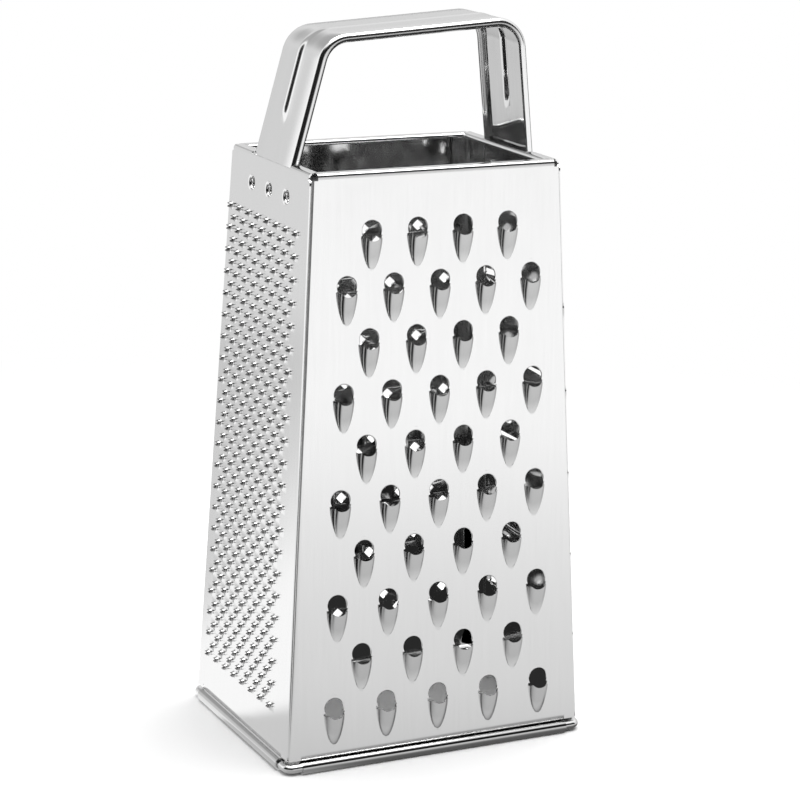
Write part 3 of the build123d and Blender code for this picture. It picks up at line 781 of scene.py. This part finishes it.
# The handle: the strap's section, folded edges and pressed rib, carried along the bow. Towards each end
# it flattens and widens into a foot with three holes. The rib is one wave of a cosine across the strap.
def strapHandle():
    tile = strap["tile"]
    columns = linesAt(eyeletMarks(strap["tabHalf"], tile), [1, 6, 6, 6, 6, 6, 1])
    parts, ends = [], []
    for wall in (walls["left"], walls["right"]):
        centre = wall["slope"] - eyelet["drop"]
        along = linesAt(
            [alongOf(wall, strap["tabFoot"]), centre - tile, centre + tile, alongOf(wall, strap["tabTop"])],
            [3, 6, 2])
        across = np.broadcast_to(columns, (len(along), len(columns)))
        alongGrid = np.broadcast_to(along[:, None], across.shape)
        blocks, size = [(3, 1), (3, 13), (3, 25)], (6, 6)
        keep = freeCells(across.shape, [(blocks, size)])
        parts.append(gridPart(fromWall(wall, across, alongGrid, -body["lap"]), keep))
        parts.append(patchPart(
            wall, across, alongGrid, blocks, size, eyeletCentres(wall), footHoleRings, sink=body["lap"]))
        end = fromWall(wall, 0.0, along[-1], -body["lap"])
        ends.append((end[0], end[2]))
    foot, rim = body["halfWidth"]
    rise, wallRise = strap["bendHeight"] - body["wallFoot"], body["rimHeight"] - body["wallFoot"]
    bendX = foot - (foot - rim) * rise / wallRise - body["lap"]
    line = roundedLine(
        [ends[0], (-bendX, strap["bendHeight"]), strap["leftCorner"], strap["rightCorner"],
         (bendX, strap["bendHeight"]), ends[1]],
        [strap["bendRadius"], strap["cornerRadius"], strap["cornerRadius"], strap["bendRadius"]], 1.0)
    way = np.gradient(line, axis=0)
    way[0], way[-1] = line[1] - line[0], line[-1] - line[-2]
    way /= np.linalg.norm(way, axis=1, keepdims=True)
    outward = np.stack([-way[:, 1], way[:, 0]], 1)
    run = np.concatenate([[0], np.cumsum(np.linalg.norm(np.diff(line, axis=0), axis=1))])
    fromEnd = np.minimum(run, run[-1] - run)

    def grown(start, end):
        share = np.clip((fromEnd - start) / (end - start), 0, 1)
        return (share * share * (3 - 2 * share))[:, None]

    formed = grown(*strap["formed"])
    half, fold, steps = strap["half"], strap["fold"], strap["ribSteps"]
    turn = np.radians([22.5, 45, 67.5, 90])
    ribY = strap["ribHalf"] * np.linspace(1, 0, steps + 1)[:-1]
    sideY = np.concatenate([
        [half + strap["lip"], half, half], half - fold + fold * np.cos(turn), [strap["shoulder"]], ribY])
    sideOut = np.concatenate([
        [-strap["flange"], -strap["flange"] + strap["lipRise"], -fold], -fold + fold * np.sin(turn),
        np.zeros(steps + 1)])
    y = np.concatenate([sideY, [0], -sideY[::-1]])
    fixed = np.concatenate([sideOut, [0], sideOut[::-1]])
    rib = strap["rib"] / 2 * (1 + np.cos(np.pi * np.minimum(np.abs(y) / strap["ribHalf"], 1)))
    pressed = grown(*strap["ribStart"]) * (1 - (1 - strap["ribTop"]) * grown(*strap["ribStop"]))
    across = columns[::-1] * (1 - formed) + y * formed
    level = fixed * formed + rib * pressed
    points = np.stack([
        line[:, 0, None] + outward[:, 0, None] * level, across, line[:, 1, None] + outward[:, 1, None] * level], -1)
    points[0, :, ::2], points[-1, :, ::2] = ends
    parts.append(gridPart(points))
    addPiece("strap_handle", parts, strapSteel, "handle", strap["sheet"])


strapHandle()

# Camera: fitted to the object's edges in the photograph, in metres and in pixels of that picture.
photoCamera = {
    "focal": 2687.12, "pixels": 800, "sensor": 36, "nearest": 0.01, "place": (-0.3543066, -0.7408971, 0.3167891),
    "right": (0.90247094, -0.43031791, 0.0193055), "up": (0.09068487, 0.23361782, 0.96809037),
    "back": (-0.42109673, -0.87192271, 0.24985662),
}


# The camera: its lens is the focal length over the picture's width, both in pixels, times the sensor's width.
def addCamera():
    camera = addObject("camera", bpy.data.cameras.new("camera"))
    camera.data.lens = photoCamera["focal"] / photoCamera["pixels"] * photoCamera["sensor"]
    camera.data.sensor_width = photoCamera["sensor"]
    camera.data.clip_start = photoCamera["nearest"]
    turned = Matrix([photoCamera[name] for name in ("right", "up", "back")]).transposed().to_4x4()
    camera.matrix_world = Matrix.Translation(photoCamera["place"]) @ turned
    bpy.context.scene.camera = camera
    bpy.context.scene.view_settings.view_transform = "Standard"
    print("camera set")


addCamera()

# Stage: a white floor in a room that is light overhead and behind, and dark at the left and front. The
# camera sees plain white; the metal sees the room. Each pair of marks, in metres or as cosines, is where
# a share eases from 0 to 1, and a window is a direction with such a pair.
studio = {
    "floorHalf": 6.0, "paper": 0.98, "fade": (0.22, 0.5),  # the camera sees the floor fade to white
    "front": (0.421, -0.907, 0),
    "sweep": [(-1.0, 0.7), (-0.82, 0.74), (-0.64, 0.58), (-0.33, 0.66), (-0.12, 0.62), (-0.03, 0.62), (0.03, 0.6),
              (0.11, 0.7), (0.22, 0.76), (0.33, 0.83), (0.56, 1.0), (1.0, 1.0)],  # metres to the front, level
    "panel": ((-0.819, 0.574, 0), 0.91, 0.97),
    "right": ((0.809, 0.588, 0), 0.83, 0.91), "rightFrom": (0.1, 0.18), "rightLevel": 0.14,
    "rightGap": ((0.707, 0.707, 0), 0.975, 0.99), "rightGapLevel": 0.58,
    "darkLeft": ((-0.907, -0.421, 0), 0.065, 0.13), "darkSide": ((-0.309, -0.951, 0), 0.0, 0.12),
    "darkFront": (0.74, 0.985), "darkNear": 0.012, "darkFar": 0.04, "darkFade": (0.36, 0.46),  # closes frontward
    "leftGap": ((-0.707, -0.707, 0), 0.978, 0.992), "sideGap": ((-1, 0, 0), 0.978, 0.99),
    "gapLevel": 0.55, "gapFade": (0.6, 0.7), "gapRest": 0.7,
    "foot": (0.0523, 0.0397, 0), "contact": 0.12, "contactFrom": (0.0, 0.03), "contactReach": (0.0, 0.01),
    "inside": 0.03, "insideEdge": (-0.004, -0.001),
}


# A value eased from one level to another between two marks.
def eased(tree, source, low, high, first=0.0, last=1.0):
    node = addNode(
        tree, "MapRange", {"Value": source, "From Min": low, "From Max": high, "To Min": first, "To Max": last},
        interpolation_type="SMOOTHSTEP")
    return node.outputs["Result"]


# The outcome of one operation on a vector, and on a fixed one where the operation takes two.
def vectorMath(tree, operation, vector, fixed=(0, 0, 0), output="Vector"):
    return addNode(tree, "VectorMath", {0: vector, 1: fixed}, operation=operation).outputs[output]


# The part of a vector that lies along a direction.
def partAlong(tree, vector, direction):
    return vectorMath(tree, "DOT_PRODUCT", vector, direction, "Value")


# A window of directions: 1 near its own, 0 away from it.
def opened(tree, heading, window):
    direction, low, high = window
    return eased(tree, partAlong(tree, heading, direction), low, high)


# Two values joined by one operation.
def joined(tree, operation, first, second):
    return addNode(tree, "Math", {0: first, 1: second}, operation=operation).outputs["Value"]


# One value turned into another by a share: first + share (second - first).
def blended(tree, share, first, second):
    return addNode(tree, "Mix", {0: share, 2: first, 3: second}, data_type="FLOAT").outputs[0]


# One shader turned into another by a share.
def mixed(tree, share, first, second):
    return addNode(tree, "MixShader", {"Fac": share, 1: first, 2: second}).outputs["Shader"]


# The floor's level along the sweep: a straight line between its marks, 1 m to either side of the middle.
def sweepLevel(tree, place):
    share = addNode(
        tree, "Math", {0: partAlong(tree, place, studio["front"]), 1: 0.5, 2: 0.5}, operation="MULTIPLY_ADD")
    ramp = addNode(tree, "ValToRGB", {"Fac": share.outputs["Value"]})
    stops = ramp.color_ramp.elements
    for index, (mark, level) in enumerate(studio["sweep"]):
        stop = stops[index] if index < 2 else stops.new(1.0)
        stop.position = (mark + 1) / 2
        stop.color = (level, level, level, 1)
    return ramp.outputs["Color"]


# Shade by how far a place lies outside the base, the greater of both ways: a dark line in front of the
# object, and darkness under it.
def shadedLevel(tree, place, level):
    sides = vectorMath(tree, "SUBTRACT", vectorMath(tree, "ABSOLUTE", place), studio["foot"])
    parts = addNode(tree, "SeparateXYZ", {0: sides}).outputs
    away = joined(tree, "MAXIMUM", parts["X"], parts["Y"])
    frontSide = eased(tree, partAlong(tree, place, studio["front"]), *studio["contactFrom"])
    near = joined(tree, "MULTIPLY", eased(tree, away, *studio["contactReach"], 1.0, 0.0), frontSide)
    level = blended(tree, near, level, studio["contact"])
    return blended(tree, eased(tree, away, *studio["insideEdge"], 1.0, 0.0), level, studio["inside"])


# The floor's level as the metal sees it, painted light and shade: a sweep from back to front, a painted reflection
# of the panel, a grey patch at the right back, painted darkness at the left and front, and the object's painted
# shadow. Lighter gaps in the patch and in the darkness show in the sides that face away from the camera. Also gives
# the distance.
def floorLevel(tree, place):
    far = vectorMath(tree, "LENGTH", place, output="Value")
    heading = vectorMath(tree, "NORMALIZE", place)
    level = blended(tree, opened(tree, heading, studio["panel"]), sweepLevel(tree, place), 1.0)
    patch = joined(
        tree, "MULTIPLY", opened(tree, heading, studio["right"]), eased(tree, far, *studio["rightFrom"]))
    patchLevel = blended(
        tree, opened(tree, heading, studio["rightGap"]), studio["rightLevel"], studio["rightGapLevel"])
    level = blended(tree, patch, level, patchLevel)
    dark = joined(
        tree, "MULTIPLY", opened(tree, place, studio["darkLeft"]), opened(tree, heading, studio["darkSide"]))
    frontward = partAlong(tree, heading, studio["front"])
    dark = joined(tree, "MULTIPLY", dark, eased(tree, frontward, *studio["darkFront"], 1.0, 0.0))
    gap = joined(
        tree, "MAXIMUM", opened(tree, heading, studio["leftGap"]), opened(tree, heading, studio["sideGap"]))
    gap = joined(tree, "MULTIPLY", gap, eased(tree, far, *studio["gapFade"], 1.0, studio["gapRest"]))
    shadow = eased(tree, far, *studio["darkFade"], studio["darkNear"], studio["darkFar"])
    level = blended(tree, dark, level, blended(tree, gap, shadow, studio["gapLevel"]))
    return far, shadedLevel(tree, place, level)


# The floor: white paper that keeps the object's shadow and fades to plain white for the camera. Rays off the metal
# see the floor glow with its painted level of light and shade in its place.
def addStage():
    mesh = bpy.data.meshes.new("floor")
    half = studio["floorHalf"]
    mesh.from_pydata([(-half, -half, 0), (half, -half, 0), (half, half, 0), (-half, half, 0)], [], [(0, 1, 2, 3)])
    floor = addObject("floor", mesh)
    material = bpy.data.materials.new("white_paper")
    tree = emptyTree(material)
    far, level = floorLevel(tree, addNode(tree, "TexCoord").outputs["Object"])
    glow = addNode(tree, "Emission", {"Color": level}).outputs["Emission"]
    paper = addNode(tree, "BsdfDiffuse", {"Color": (studio["paper"],) * 3 + (1,)}).outputs["BSDF"]
    plain = addNode(tree, "Emission", {"Color": (1, 1, 1, 1)}).outputs["Emission"]
    rays = addNode(tree, "LightPath").outputs
    seen = mixed(tree, eased(tree, far, *studio["fade"]), paper, plain)
    seenOrLit = mixed(tree, rays["Is Camera Ray"], paper, seen)
    final = mixed(tree, rays["Is Glossy Ray"], seenOrLit, glow)
    addNode(tree, "OutputMaterial", {"Surface": final})
    mesh.materials.append(material)
    print("stage made")


addStage()

# The room above the horizon. Its other marks are upward parts of a direction.
room = {
    "rise": (0.1, 0.75), "horizon": 0.66, "panel": ((-0.819, 0.574, 0), 0.88, 0.95),
    "above": ((-0.112, 0.633, 0.766), 0.78, 0.93), "aboveLevel": 0.4,  # seen by the strap's top
    "front": ((0.421, -0.907, 0), 0.78, 0.95), "frontFrom": (0.1, 0.18),
    "side": ((-0.309, -0.951, 0), 0.02, 0.15), "darkTop": (0.62, 0.8), "darkLevel": 0.012,
}


# World: the camera sees white. The metal sees a room that grows lighter upwards, with the panel, a grey
# patch high at the back, and darkness at the left and front that ends below the ceiling.
def addWorld():
    world = bpy.data.worlds.new("room")
    bpy.context.scene.world = world
    tree = emptyTree(world)
    place = addNode(tree, "TexCoord").outputs["Generated"]
    height = addNode(tree, "SeparateXYZ", {0: place}).outputs["Z"]
    level = eased(tree, height, *room["rise"], room["horizon"], 1.0)
    level = blended(tree, opened(tree, place, room["panel"]), level, 1.0)
    level = blended(tree, opened(tree, place, room["above"]), level, room["aboveLevel"])
    notFront = joined(tree, "SUBTRACT", 1.0, opened(tree, place, room["front"]))
    kept = joined(tree, "MAXIMUM", eased(tree, height, *room["frontFrom"]), notFront)
    dark = joined(tree, "MULTIPLY", opened(tree, place, room["side"]), kept)
    dark = joined(tree, "MULTIPLY", dark, eased(tree, height, *room["darkTop"], 1.0, 0.0))
    level = blended(tree, dark, level, room["darkLevel"])
    rays = addNode(tree, "LightPath").outputs
    mirrored = addNode(tree, "Background", {"Color": level, "Strength": 1.0}).outputs["Background"]
    white = addNode(tree, "Background", {"Color": (1, 1, 1, 1), "Strength": 1.0}).outputs["Background"]
    final = mixed(tree, rays["Is Camera Ray"], mirrored, white)
    addNode(tree, "OutputWorld", {"Surface": final})
    print("world made")


addWorld()

softbox = {"size": 1.4, "energy": 22.0, "place": (0.1, -0.1, 1.6)}


# Light: one wide soft panel overhead.
def addSoftbox():
    lamp = bpy.data.lights.new("softbox", "AREA")
    lamp.shape = "RECTANGLE"
    lamp.size = lamp.size_y = softbox["size"]
    lamp.energy = softbox["energy"]
    addObject("softbox", lamp).location = softbox["place"]
    print("light set")


addSoftbox()
